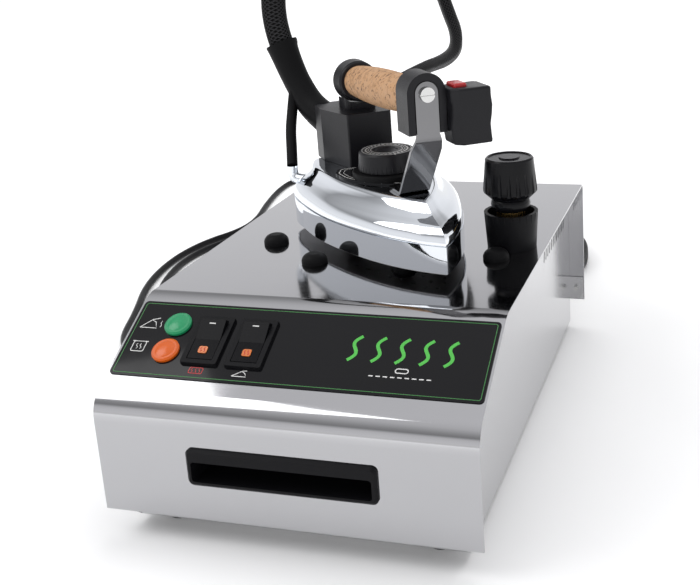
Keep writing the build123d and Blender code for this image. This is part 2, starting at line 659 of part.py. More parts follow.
LEG_X = 23.5                 # front face of the bracket's upright leg
LEG_W = 16.0
SCREW_Z = 126.5
CAP_HALF = 13.6
with BuildPart() as front_cap:
    with BuildSketch(iron_plane(26.3, 0, 0, (0, 1, 0), (1, 0, 0))):
        with BuildLine():
            Polyline((-CAP_HALF, 100), (-CAP_HALF, 127))
            ThreePointArc((-CAP_HALF, 127), (0, 127 + CAP_HALF), (CAP_HALF, 127))
            Polyline((CAP_HALF, 127), (CAP_HALF, 100), (-CAP_HALF, 100))
        make_face()
    extrude(amount=GRIP_FRONT[0] - 26.3 - 1.5)
    with BuildSketch(iron_plane(21.5, 0, 0, (0, 1, 0), (1, 0, 0))):
        with BuildLine():
            Polyline((-CAP_HALF, 100), (-CAP_HALF, 127))
            ThreePointArc((-CAP_HALF, 127), (0, 127 + CAP_HALF), (CAP_HALF, 127))
            Polyline((CAP_HALF, 127), (CAP_HALF, 100), (LEG_W / 2 + 0.6, 100), (LEG_W / 2 + 0.6, 127))
            ThreePointArc((LEG_W / 2 + 0.6, 127), (0, 127 + LEG_W / 2 + 0.6), (-LEG_W / 2 - 0.6, 127))
            Polyline((-LEG_W / 2 - 0.6, 127), (-LEG_W / 2 - 0.6, 100), (-CAP_HALF, 100))
        make_face()
    extrude(amount=4.8)
    with BuildSketch(GRIP.offset(-30)):
        Circle(4.3)
    extrude(amount=40, mode=Mode.SUBTRACT)
save(front_cap, "front_cap")

with BuildPart() as rear_cap:
    with BuildSketch(GRIP_SIDE):
        with BuildLine():
            Polyline((grip_len + 16, 4.4), (grip_len + 0.3, 4.4), (grip_len + 0.3, 14.2), (grip_len + 2, 15.6), (grip_len + 15, 16.6))
            ThreePointArc((grip_len + 15, 16.6), (grip_len + 21, 13.8), (grip_len + 24, 8.0))
            Polyline((grip_len + 24, 8.0), (grip_len + 24.6, 0), (grip_len + 16.2, 0), (grip_len + 16.2, 4.4), (grip_len + 16, 4.4))
        make_face()
    revolve(axis=grip_axis)
save(rear_cap, "rear_cap")

# The bracket is one strip: upright leg, slanted leg and foot.
FOOT_Z = COVER_TOP + 0.1
with BuildPart() as front_bracket:
    with BuildSketch(iron_plane(0, -LEG_W / 2 - 3, 0, (1, 0, 0), (0, -1, 0))):
        with BuildLine():
            FilletPolyline(
                (LEG_X, 136.0), (LEG_X, 96.0), (57.0, FOOT_Z + 2.2), (78.0, FOOT_Z + 2.2), radius=[3.5, 4.0]
            )
            offset(amount=2.2, side=Side.RIGHT)
        make_face()
    extrude(amount=-(LEG_W + 6))
    with BuildSketch(iron_plane(0, 0, 0, (0, 1, 0), (1, 0, 0))):
        Rectangle(60, 300)
        with BuildLine():
            Polyline((8, 127), (8, 100), (9.6, 94), (11, 88), (11, 40), (-11, 40), (-11, 88), (-9.6, 94), (-8, 100), (-8, 127))
            ThreePointArc((-8, 127), (0, 135), (8, 127))
        make_face(mode=Mode.SUBTRACT)
    extrude(amount=100, mode=Mode.SUBTRACT)
    with BuildSketch(iron_plane(LEG_X - 6, 0, SCREW_Z, (0, 1, 0), (1, 0, 0))):
        Circle(2.3)
    extrude(amount=12, mode=Mode.SUBTRACT)
    with BuildSketch(IRON.offset(40)):
        with Locations((70, 0)):
            Circle(2.2)
    extrude(amount=30, mode=Mode.SUBTRACT)
save(front_bracket, "front_bracket")

with BuildPart() as bracket_screws:
    for plane in (
        iron_plane(LEG_X - 2.3, 0, SCREW_Z, (0, 1, 0), (-1, 0, 0)),
        iron_plane(70, 0, FOOT_Z + 2.3, (1, 0, 0), (0, 0, 1)),
    ):
        with BuildSketch(plane):
            Circle(5.0)
        extrude(amount=2.4)
        with BuildSketch(plane.offset(2.4)):
            Rectangle(12, 1.2)
        extrude(amount=-1.0, mode=Mode.SUBTRACT)
        with BuildSketch(plane):
            Circle(2.1)
        extrude(amount=-3.0)
save(bracket_screws, "bracket_screws")

HOOD_Z = COVER_TOP + 0.2
RIM = (-107.8, 93.0, 272.8)
BOOT_ROUTE = [(-47, 66, 206.5), (-80, 80, 222), (-99, 89, 249), RIM]
BOOT_RADII = [40, 40]
BOOT_R = 10.4
with BuildPart() as rear_hood:
    with BuildSketch(IRON.offset(HOOD_Z)):
        Polygon((149, -17.5), (149, 17.5), (186, 28), (204, 28), (211, 14), (211, -14), (204, -28), (186, -28),
                align=None)
    extrude(amount=92.5 - HOOD_Z)
    with BuildSketch(IRON.offset(90)):
        with Locations((178, 0)):
            RectangleRounded(22, 25, 4)
    extrude(amount=14)
    fillet(rear_hood.edges().filter_by(Axis.Z), 1.6)
    with BuildSketch(IRON.offset(HOOD_Z)):
        Polygon((152, -15), (152, 15), (187, 25), (202, 25), (208, 13), (208, -13), (202, -25), (187, -25),
                align=None)
    extrude(amount=36, mode=Mode.SUBTRACT)
    with BuildSketch(GRIP.offset(60)):
        Circle(17.2)
    extrude(amount=120, mode=Mode.SUBTRACT)
    with BuildLine() as socket:
        FilletPolyline(*BOOT_ROUTE, radius=BOOT_RADII)
    with BuildSketch(Plane(origin=socket.line @ 0, z_dir=socket.line % 0)):
        Circle(BOOT_R + 0.1)
    sweep(mode=Mode.SUBTRACT)
save(rear_hood, "rear_hood")

BOX_S, BOX_Y = 22.0, -27.8
BOX_BOTTOM, BOX_TOP = 91.0, 130.0
BUTTON = (15.0, 9.4)
BUTTON_S, BUTTON_Y = 24.5, -22.5
BUTTON_H = 11.0
PRESS = 3.0
with BuildPart() as switch_box:
    with BuildSketch(IRON.offset(BOX_BOTTOM)):
        with Locations((BOX_S, BOX_Y)):
            Polygon((-6.5, -13.5), (12.5, -13.5), (12.5, 13.5), (-6.5, 13.5), (-12.5, 7.5), (-12.5, -7.5),
                    align=None)
    extrude(amount=BOX_TOP - BOX_BOTTOM)
    fillet(switch_box.faces().sort_by(Axis.Z)[-1].edges(), 1.5)
    with BuildSketch(IRON.offset(BOX_TOP)):
        with Locations((BUTTON_S, BUTTON_Y)):
            RectangleRounded(BUTTON[0] + 0.8, BUTTON[1] + 0.8, 2)
    extrude(amount=-31, mode=Mode.SUBTRACT)
save(switch_box, "switch_box")

SWITCH_Z = BOX_TOP - 30.8
with BuildPart() as microswitch:
    with Locations(IRON.offset(SWITCH_Z)):
        with Locations((BUTTON_S, BUTTON_Y)):
            Box(14, 8, 15, align=(Align.CENTER, Align.CENTER, Align.MIN))
save(microswitch, "microswitch")

BUTTON_Z = BOX_TOP + 2.0 - BUTTON_H
with BuildPart() as steam_button:
    with BuildSketch(IRON.offset(BUTTON_Z)):
        with Locations((BUTTON_S, BUTTON_Y)):
            RectangleRounded(*BUTTON, 1.8)
    extrude(amount=BUTTON_H)
    fillet(steam_button.faces().sort_by(Axis.Z)[-1].edges(), 1.4)
save(steam_button, "steam_button")

# ---------------------------------------------------------------- hose, its boot and its branch
with BuildPart() as hose_boot:
    with BuildLine() as trunk:
        FilletPolyline(*BOOT_ROUTE, radius=BOOT_RADII)
    with BuildSketch(Plane(origin=trunk.line @ 0, z_dir=trunk.line % 0)):
        Circle(BOOT_R)
    sweep()
    with Locations(Plane(origin=RIM, z_dir=trunk.line % 1).offset(-9)):
        Cone(BOOT_R, 12.6, 9, align=(Align.CENTER, Align.CENTER, Align.MIN))
save(hose_boot, "hose_boot")

ELBOW_TOP = on_iron(196.0, 52.0, 48.0)
steam_elbow = pipe(
    [ELBOW_TOP, on_iron(196.0, 52.0, 38.0), on_iron(186.0, 42.0, 36.5)], [5.0], 4.4, 2.5
)
save(steam_elbow, "steam_elbow")

branch_route = [
    (-94.0, 80.0, 238.0),
    (-95.5, 75.0, 220.0),
    (-92.5, 62.0, 206.8),
    (-87.7, 50.0, 193.2),
    ELBOW_TOP + Vector(0, 0, 0.1),
]


def turns(points):
    """The turn of a route at each inner point, in degrees."""
    steps = [Vector(*b) - Vector(*a) for a, b in zip(points, points[1:])]
    return [a.get_angle(b) for a, b in zip(steps, steps[1:])]


def arc_radii(points):
    """The largest arcs that a route's runs leave room for."""
    runs = [(Vector(*b) - Vector(*a)).length for a, b in zip(points, points[1:])]
    return [
        0.45 * min(runs[i], runs[i + 1]) / tan(radians(turn) / 2)
        for i, turn in enumerate(turns(points))
    ]


def tube(points, radius, radii=None):
    """A plain tube along a free route. Prints its radii, turns, runs and length."""
    points = [tuple(Vector(*p)) for p in points]
    radii = radii or arc_radii(points)
    made = pipe(points, radii, radius)
    with BuildLine() as line:
        FilletPolyline(*points, radius=radii)
    length = sum(edge.length for edge in line.edges())
    share = made.part.volume / (pi * radius**2 * length)
    print("radii", [round(r) for r in radii], "turns", [round(t) for t in turns(points)])
    print("runs", [round((Vector(*b) - Vector(*a)).length) for a, b in zip(points, points[1:])])
    print(f"length {length:.0f}, volume over section times length {share:.3f}")
    return made


branch_tube = tube(branch_route, 4.3)
save(branch_tube, "branch_tube")

# The hose rises from the boot, arches over and drops behind the cabinet. A round tube of
# the flat hose's own section area stands for it.
HOSE_R = 7.7
SPLIT = 5                    # the run in which the iron's share of the hose ends
hose_route = [
    Vector(*RIM) + Vector(-0.034, 0.016, 0.093),
    (-114.0, 95.8, 289.5),
    (-113.0, 98.5, 322.0),
    (-97.0, 103.5, 364.0),
    (-57.0, 115.0, 386.0),
    (-13.0, 126.0, 374.0),
    (10.0, 133.0, 338.0),
    (19.0, 145.0, 296.0),
    (21.5, 172.0, 264.0),
    (4.0, 205.0, 241.0),
    (-36.0, 242.0, 225.0),
    (-82.0, 267.0, 201.0),
    (-113.0, 262.0, 160.0),
    (-112.0, 240.0, 122.0),
    (-108.0, 238.0, 76.0),
    (-102.0, 268.0, 42.0),
    (-93.0, 312.0, 28.6),
]
hose_radii = arc_radii([tuple(Vector(*p)) for p in hose_route])
joint = tuple((Vector(*hose_route[SPLIT - 1]) + Vector(*hose_route[SPLIT])) * 0.5)
hose_upper = tube(hose_route[:SPLIT] + [joint], HOSE_R, hose_radii[: SPLIT - 1])
save(hose_upper, "hose_upper")
hose_lower = tube([joint] + hose_route[SPLIT:], HOSE_R, hose_radii[SPLIT - 1 :])

COIL = (0.0, 336.0)
COIL_IN, COIL_OUT = 88.0, 112.0
with BuildPart() as hose_coil:
    with Locations(COIL):
        Cylinder(COIL_OUT, HOSE[0] + 0.4, align=(Align.CENTER, Align.CENTER, Align.MIN))
        Cylinder(COIL_IN, 30, align=(Align.CENTER, Align.CENTER, Align.MIN), mode=Mode.SUBTRACT)
save(hose_coil, "hose_coil")

hose_tail_route = [
    (92.0, 304.0, 14.0),
    (75.0, 282.0, 33.0),
    (64.0, 260.0, 50.0),
    (HOSE_PORT[0], 232.0, HOSE_PORT[1]),
    (HOSE_PORT[0], REACH_Y + 0.1, HOSE_PORT[1]),
]
hose_tail = tube(hose_tail_route, HOSE_R)
with BuildPart() as hose_ends:
    add(hose_lower.part)
    add(hose_tail.part)
save(hose_ends, "hose_lower")

# ---------------------------------------------------------------- mains lead
LEAD_Z = CORD_D / 2 + 0.1
lead_route = [
    (CORD_PORT[0], REACH_Y + 0.1, CORD_PORT[1]),
    (-86.0, 236.0, 46.0),
    (-98.0, 268.0, 28.0),
    (-122.0, 310.0, 8.0),
    (-142.0, 368.0, LEAD_Z),
    (-160.0, 440.0, LEAD_Z),
    (-188.0, 520.0, LEAD_Z),
    (-222.0, 596.0, LEAD_Z),
    (-268.0, 650.0, LEAD_Z),
    (-318.0, 660.0, LEAD_Z),
    (-350.0, 625.0, LEAD_Z),
    (-350.0, 575.0, LEAD_Z),
    (-337.0, 505.0, LEAD_Z),
    (-321.0, 445.0, LEAD_Z),
    (-322.0, 398.0, LEAD_Z),
    (-345.0, 352.0, LEAD_Z),
    (-353.0, 290.0, LEAD_Z),
    (-340.0, 212.0, LEAD_Z),
    (-309.0, 140.0, LEAD_Z),
    (-287.0, 76.0, LEAD_Z),
    (-257.0, 46.0, LEAD_Z),
    (-215.0, 46.0, LEAD_Z),
    (-186.0, 76.0, LEAD_Z),
    (-180.0, 130.0, LEAD_Z),
    (-183.0, 200.0, LEAD_Z),
    (-192.0, 280.0, LEAD_Z),
    (-212.0, 350.0, LEAD_Z),
    (-252.0, 396.0, LEAD_Z),
    (-298.0, 390.0, LEAD_Z),
    (-330.0, 345.0, LEAD_Z),
    (-338.0, 288.0, LEAD_Z),
    (-329.0, 236.0, LEAD_Z),
    (-313.0, 190.0, LEAD_Z),
    (-302.0, 155.0, LEAD_Z),
    (-279.0, 132.0, 5.0),
    (-245.0, 132.0, 10.0),
    (-221.0, 155.0, 19.0),
    (-221.0, 186.0, 19.0),
]
power_cord = tube(lead_route, CORD_D / 2)
save(power_cord, "power_cord")

PLUG = (-221.0, 186.1, 19.0)
with BuildPart() as mains_plug:
    with BuildSketch(Plane(origin=PLUG, x_dir=(1, 0, 0), z_dir=(0, 0, 1))):
        with BuildLine():
            Polyline((0, 0), (5.0, 0), (7.0, 26.0), (10.5, 30.0), (13.0, 46.0), (18.6, 50.0), (18.6, 64.0), (17.6, 65.0), (0, 65.0), (0, 0))
        make_face()
    revolve(axis=Axis(PLUG, (0, 1, 0)))
    for side in (-1, 1):
        with Locations((PLUG[0] + side * 19.0, PLUG[1] + 58.0, PLUG[2])):
            Box(8.0, 15.0, 9.0, mode=Mode.SUBTRACT)
    with BuildSketch(Plane.XZ.offset(-PLUG[1] - 65.0)):
        for side in (-1, 1):
            with Locations((PLUG[0], PLUG[2] + side * 9.5)):
                Circle(2.4)
    extrude(amount=-19.0)
save(mains_plug, "mains_plug")
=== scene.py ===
import math

import bmesh
import bpy
from mathutils import Matrix, Vector


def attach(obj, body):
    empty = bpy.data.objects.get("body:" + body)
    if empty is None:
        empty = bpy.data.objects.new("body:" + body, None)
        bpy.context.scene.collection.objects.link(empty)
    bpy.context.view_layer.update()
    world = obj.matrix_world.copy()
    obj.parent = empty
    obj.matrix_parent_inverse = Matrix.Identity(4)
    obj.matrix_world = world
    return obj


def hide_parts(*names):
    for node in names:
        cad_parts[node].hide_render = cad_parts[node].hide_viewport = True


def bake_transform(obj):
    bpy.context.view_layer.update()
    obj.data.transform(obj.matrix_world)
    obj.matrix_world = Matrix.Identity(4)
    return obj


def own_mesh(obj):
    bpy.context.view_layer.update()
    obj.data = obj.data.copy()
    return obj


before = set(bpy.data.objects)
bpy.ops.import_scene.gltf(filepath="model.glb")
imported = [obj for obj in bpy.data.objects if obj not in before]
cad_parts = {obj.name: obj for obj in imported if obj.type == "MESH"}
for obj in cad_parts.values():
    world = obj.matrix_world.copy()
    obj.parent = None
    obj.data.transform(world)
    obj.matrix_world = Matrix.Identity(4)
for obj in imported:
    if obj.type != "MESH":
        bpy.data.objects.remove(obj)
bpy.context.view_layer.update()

scene = bpy.context.scene
scene.view_settings.view_transform = "Standard"

# ---------------------------------------------------------------- camera
YAW, PITCH, ROLL = -0.291, -0.281, -0.053
forward = Vector((math.sin(YAW) * math.cos(PITCH), math.cos(YAW) * math.cos(PITCH), math.sin(PITCH)))
right = forward.cross(Vector((0, 0, 1))).normalized()
up = right.cross(forward)
cam_x = right * math.cos(ROLL) + up * math.sin(ROLL)
cam_y = up * math.cos(ROLL) - right * math.sin(ROLL)
camera = bpy.data.objects.new("camera", bpy.data.cameras.new("camera"))
camera.matrix_world = Matrix.Translation(Vector((0.27147, -0.74331, 0.39414))) @ Matrix(
    (cam_x, cam_y, -forward)).transposed().to_4x4()
camera.data.sensor_width = 36.0
camera.data.lens = 56.79
camera.data.shift_x = -0.1286
camera.data.shift_y = -0.1321
scene.collection.objects.link(camera)
scene.camera = camera

# ---------------------------------------------------------------- the part's own frames
DECK = 0.1345
HEADING = math.radians(37.6)
IRON = Matrix((
    (-math.sin(HEADING), -math.cos(HEADING), 0, 0.0758),
    (math.cos(HEADING), -math.sin(HEADING), 0, -0.0812),
    (0, 0, 1, DECK),
    (0, 0, 0, 1),
))
SLOPE = math.atan2(42.2, 80.5)
PANEL = Matrix((
    (1, 0, 0, 0),
    (0, math.cos(SLOPE), -math.sin(SLOPE), -0.2025 + 0.053 * math.cos(SLOPE)),
    (0, math.sin(SLOPE), math.cos(SLOPE), 0.0923 + 0.053 * math.sin(SLOPE)),
    (0, 0, 0, 1),
))


def in_mm(points):
    return [Vector(p) * 0.001 for p in points]


# ---------------------------------------------------------------- cords
def nurbs(name, points, thickness=0.0):
    data = bpy.data.curves.new(name, "CURVE")
    data.dimensions = "3D"
    data.resolution_u = 16
    data.bevel_depth = thickness
    data.bevel_resolution = 5
    line = data.splines.new("NURBS")
    line.points.add(len(points) - 1)
    for slot, p in zip(line.points, points):
        slot.co = (*p, 1.0)
    line.order_u = 3
    line.use_endpoint_u = True
    o = bpy.data.objects.new(name, data)
    scene.collection.objects.link(o)
    return o


def centreline(points):
    """The route's smooth line, as points."""
    bare = nurbs("bare", points)
    bpy.context.view_layer.update()
    mesh = bpy.data.meshes.new_from_object(bare)
    line = [v.co.copy() for v in mesh.vertices]
    bpy.data.objects.remove(bare)
    bpy.data.meshes.remove(mesh)
    return line


def length_of(line):
    return sum((b - a).length for a, b in zip(line, line[1:]))


hose_route = in_mm([
    (-107.8, 93, 272.9), (-114, 95.8, 289.5), (-113, 98.5, 322), (-97, 103.5, 364), (-57, 115, 386),
    (-13, 126, 374), (10, 133, 338),
    (19, 145, 296), (21.5, 172, 264), (4, 205, 241), (-36, 242, 225), (-82, 267, 201), (-113, 262, 160),
    (-112, 240, 122), (-108, 238, 76), (-102, 268, 42), (-97, 312, 27),
])
COIL = Vector((0, 0.336, 0))
COIL_START, COIL_STEP = 158, 24.3
COIL_RING, COIL_INWARD = 0.1055, 0.011
LIES_AT, COMES_IN_AT = 0.0105, 0.016
for step in range(22):
    turn = math.radians(COIL_START - COIL_STEP * step)
    ring = COIL_RING - COIL_INWARD * step * COIL_STEP / 360
    height = LIES_AT if step else COMES_IN_AT
    hose_route.append(COIL + Vector((ring * math.cos(turn), ring * math.sin(turn), height)))
hose_route += in_mm([(88, 306, 14), (75, 282, 33), (64, 260, 50), (62, 232, 58), (62, 205.6, 58)])

lead_z = 3.6
lead_route = in_mm([
    (-85, 205.6, 48), (-86, 236, 46), (-98, 268, 28), (-122, 310, 8),
    (-142, 368, lead_z), (-160, 440, lead_z),
    (-188, 520, lead_z), (-222, 596, lead_z), (-268, 650, lead_z), (-318, 660, lead_z), (-350, 625, lead_z),
    (-350, 575, lead_z), (-337, 505, lead_z), (-321, 445, lead_z), (-322, 398, lead_z), (-345, 352, lead_z),
    (-353, 290, lead_z), (-340, 212, lead_z), (-309, 140, lead_z), (-287, 76, lead_z), (-257, 46, lead_z),
    (-215, 46, lead_z), (-186, 76, lead_z), (-180, 130, lead_z), (-183, 200, lead_z), (-192, 280, lead_z),
    (-212, 350, lead_z), (-252, 396, lead_z), (-298, 390, lead_z), (-330, 345, lead_z), (-338, 288, lead_z),
    (-329, 236, lead_z), (-313, 190, lead_z), (-302, 155, lead_z), (-279, 132, 5), (-245, 132, 10),
    (-221, 155, 19), (-221, 186, 19),
])
power_lead = nurbs("power_lead", lead_route, 0.0035)
lead_line = centreline(lead_route)
hose_line = centreline(hose_route)


def new_mesh(name, verts, faces, smooth=True):
    data = bpy.data.meshes.new(name)
    data.from_pydata([tuple(v) for v in verts], [], faces)
    data.update()
    if smooth:
        data.polygons.foreach_set("use_smooth", [True] * len(data.polygons))
    o = bpy.data.objects.new(name, data)
    scene.collection.objects.link(o)
    return o


def flat_hose(name, line, half_w, half_t, face_at):
    """A flat sleeve along a line. face_at gives the direction of its width at each point."""
    around = 24
    verts, faces, coords = [], [], []
    travelled = 0.0
    for i, p in enumerate(line):
        if i:
            travelled += (p - line[i - 1]).length
        ahead = line[min(i + 1, len(line) - 1)] - line[max(i - 1, 0)]
        ahead.normalize()
        wide = face_at(i / (len(line) - 1), p)
        wide = (wide - ahead * wide.dot(ahead)).normalized()
        thin = ahead.cross(wide)
        for k in range(around):
            a = 2 * math.pi * k / around
            c, s = math.cos(a), math.sin(a)
            x = math.copysign(abs(c) ** 0.55, c) * half_w
            y = math.copysign(abs(s) ** 0.75, s) * half_t
            verts.append(p + wide * x + thin * y)
            coords.append((k / around, travelled))
    for i in range(len(line) - 1):
        for k in range(around):
            n = (k + 1) % around
            faces.append((i * around + k, i * around + n, (i + 1) * around + n, (i + 1) * around + k))
    faces.append(tuple(reversed(range(around))))
    faces.append(tuple((len(line) - 1) * around + k for k in range(around)))
    o = new_mesh(name, verts, faces)
    layer = o.data.uv_layers.new(name="along")
    for poly in o.data.polygons:
        seam = {0, around - 1} <= {v % around for v in poly.vertices}
        for loop in poly.loop_indices:
            v = o.data.loops[loop].vertex_index
            u, t = coords[v]
            if seam and v % around == 0 and len(poly.vertices) == 4:
                u = 1.0
            layer.data[loop].uv = (u * 0.052, t)
    return o


FACES = [
    (0.0, Vector((0.958, 0.287, 0))), (0.035, Vector((0.958, 0.287, 0))), (0.10, Vector((-0.28, 0.92, -0.2))),
    (0.205, Vector((-0.28, 0.92, -0.28))), (0.26, Vector((0.68, 0.73, 0))), (0.34, Vector((0.9, 0.1, 0))),
]


def hose_face(t, p):
    """The way the hose's wide side points: outward by the boot, edge on after the arch, upright in the coil."""
    if p.z < 0.030 and t > 0.4:
        return Vector((0, 0, 1))
    if t > 0.9:
        share = max(0.0, min(1.0, (p.z - 0.014) / 0.03))
        return Vector((share, 0, 1.0 - share * 0.98))
    for (ta, a), (tb, b) in zip(FACES, FACES[1:]):
        if ta <= t <= tb:
            f = (t - ta) / (tb - ta)
            f = f * f * (3 - 2 * f)
            return a.lerp(b, f).normalized()
    share = max(0.0, min(1.0, (p.z - 0.030) / 0.05))
    return Vector((0.9 * share, 0.1 * share, 1.0 - 0.98 * share))


steam_hose = flat_hose("steam_hose", hose_line, 0.0100, 0.00525, hose_face)
print("hose", round(length_of(hose_line), 4), "lead", round(length_of(lead_line), 4))

# ---------------------------------------------------------------- materials
def paint(name, base, rough, metal=0.0, coat=0.0, grain=0.0, grain_scale=400.0, stretch=(1, 1, 1),
          rough_spread=0.06, tint=0.06, glow=0.0, specular=0.5):
    """A surface with its own grain: colour and gloss vary with noise in the object's space, with a fine bump."""
    m = bpy.data.materials.new(name)
    m.use_nodes = True
    nodes, links = m.node_tree.nodes, m.node_tree.links
    shader = nodes["Principled BSDF"]
    shader.inputs["Metallic"].default_value = metal
    shader.inputs["Coat Weight"].default_value = coat
    shader.inputs["Coat Roughness"].default_value = 0.05
    shader.inputs["Specular IOR Level"].default_value = specular
    if glow:
        shader.inputs["Emission Color"].default_value = (*base, 1)
        shader.inputs["Emission Strength"].default_value = glow
    place = nodes.new("ShaderNodeTexCoord")
    mapping = nodes.new("ShaderNodeMapping")
    mapping.inputs["Scale"].default_value = stretch
    links.new(place.outputs["Object"], mapping.inputs["Vector"])
    fine = nodes.new("ShaderNodeTexNoise")
    fine.inputs["Scale"].default_value = grain_scale
    fine.inputs["Detail"].default_value = 4.0
    links.new(mapping.outputs["Vector"], fine.inputs["Vector"])
    broad = nodes.new("ShaderNodeTexNoise")
    broad.inputs["Scale"].default_value = 14.0
    broad.inputs["Detail"].default_value = 3.0
    links.new(place.outputs["Object"], broad.inputs["Vector"])
    colour = nodes.new("ShaderNodeMix")
    colour.data_type = "RGBA"
    colour.inputs["A"].default_value = (*[c * (1 - tint) for c in base], 1)
    colour.inputs["B"].default_value = (*[min(1, c * (1 + tint)) for c in base], 1)
    links.new(broad.outputs["Fac"], colour.inputs["Factor"])
    links.new(colour.outputs["Result"], shader.inputs["Base Color"])
    gloss = nodes.new("ShaderNodeMapRange")
    gloss.inputs["From Min"].default_value = 0.3
    gloss.inputs["From Max"].default_value = 0.7
    gloss.inputs["To Min"].default_value = max(0.01, rough - rough_spread)
    gloss.inputs["To Max"].default_value = rough + rough_spread
    mixed = nodes.new("ShaderNodeMath")
    mixed.operation = "ADD"
    half = nodes.new("ShaderNodeMath")
    half.operation = "MULTIPLY"
    half.inputs[1].default_value = 0.5
    links.new(broad.outputs["Fac"], mixed.inputs[0])
    links.new(fine.outputs["Fac"], mixed.inputs[1])
    links.new(mixed.outputs[0], half.inputs[0])
    links.new(half.outputs[0], gloss.inputs["Value"])
    links.new(gloss.outputs["Result"], shader.inputs["Roughness"])
    if grain:
        bump = nodes.new("ShaderNodeBump")
        bump.inputs["Strength"].default_value = grain
        bump.inputs["Distance"].default_value = 0.0002
        links.new(fine.outputs["Fac"], bump.inputs["Height"])
        links.new(bump.outputs["Normal"], shader.inputs["Normal"])
    return m


STEEL = paint("polished_steel", (0.455, 0.455, 0.468), 0.085, 1.0, grain=0.02, grain_scale=160,
              stretch=(0.05, 3, 3), rough_spread=0.03, tint=0.02)
TRAY = paint("satin_steel", (0.56, 0.56, 0.57), 0.17, 1.0, grain=0.05, grain_scale=220,
             rough_spread=0.04, tint=0.03)
CHROME = paint("chrome", (0.74, 0.77, 0.81), 0.035, 1.0, grain=0.008, grain_scale=40, rough_spread=0.018,
               tint=0.01)
BRACKET = paint("pressed_strip", (0.185, 0.185, 0.19), 0.11, 1.0, grain=0.05, grain_scale=90,
                stretch=(1, 1, 6), rough_spread=0.04, tint=0.08)
ALU = paint("cast_aluminium", (0.50, 0.50, 0.51), 0.36, 1.0, grain=0.35, grain_scale=500)
RUBBER = paint("black_rubber", (0.0045, 0.0045, 0.005), 0.50, grain=0.35, grain_scale=900, tint=0.25,
               specular=0.10)
DULL = paint("dull_black_plastic", (0.005, 0.005, 0.006), 0.40, grain=0.3, grain_scale=1100, tint=0.2,
             specular=0.12)
BAKELITE = paint("phenolic_black", (0.004, 0.004, 0.005), 0.20, grain=0.06, grain_scale=300,
                 rough_spread=0.07, tint=0.2, specular=0.16)
HANDLE = paint("handle_black", (0.008, 0.008, 0.010), 0.36, grain=0.25, grain_scale=900, rough_spread=0.08,
               tint=0.15, specular=0.22)
GLOSS = paint("gloss_black", (0.004, 0.004, 0.005), 0.06, grain=0.02, grain_scale=60, rough_spread=0.03,
              tint=0.2, specular=0.22)
ROCKER = paint("rocker_black", (0.004, 0.004, 0.005), 0.24, grain=0.12, grain_scale=1400, tint=0.2,
               specular=0.08)
GREEN = paint("green_lens", (0.008, 0.22, 0.085), 0.22, coat=0.05, grain=0.12, grain_scale=350,
              glow=0.12, tint=0.25)
ORANGE = paint("orange_lens", (0.52, 0.085, 0.003), 0.22, coat=0.05, grain=0.12, grain_scale=350,
               glow=0.12, tint=0.2)
AMBER = paint("amber_window", (0.50, 0.12, 0.015), 0.2, coat=0.2, grain=0.15, grain_scale=900, glow=0.1,
              tint=0.3)
RED = paint("red_button", (0.40, 0.010, 0.012), 0.25, coat=0.2, grain=0.1, grain_scale=500, tint=0.12)
BRASS = paint("brass", (0.55, 0.36, 0.13), 0.28, 1.0, grain=0.2, grain_scale=260, tint=0.15)
COPPER = paint("copper", (0.72, 0.36, 0.22), 0.3, 1.0, grain=0.2, grain_scale=260, tint=0.15)
BLUE = paint("coil_blue", (0.04, 0.08, 0.20), 0.4, grain=0.2, grain_scale=500)
SILICONE = paint("red_silicone", (0.35, 0.04, 0.03), 0.5, grain=0.2, grain_scale=500)
CERAMIC = paint("white_ceramic", (0.70, 0.68, 0.63), 0.45, grain=0.25, grain_scale=500)
ZINC = paint("bright_zinc", (0.60, 0.60, 0.59), 0.18, 1.0, grain=0.12, grain_scale=500, tint=0.06)
LEAD = paint("lead_sheath", (0.006, 0.006, 0.007), 0.40, grain=0.2, grain_scale=700, tint=0.2,
             specular=0.14)
WHITE = paint("print_white", (0.62, 0.62, 0.61), 0.4, grain=0.1, grain_scale=900, tint=0.05)
LINE_GREEN = paint("line_green", (0.030, 0.16, 0.035), 0.4, grain=0.1, grain_scale=900, tint=0.08)
PRINT_GREEN = paint("print_green", (0.060, 0.42, 0.050), 0.4, grain=0.1, grain_scale=900, tint=0.08)
PRINT_RED = paint("print_red", (0.45, 0.03, 0.03), 0.4, grain=0.1, grain_scale=900, tint=0.08)


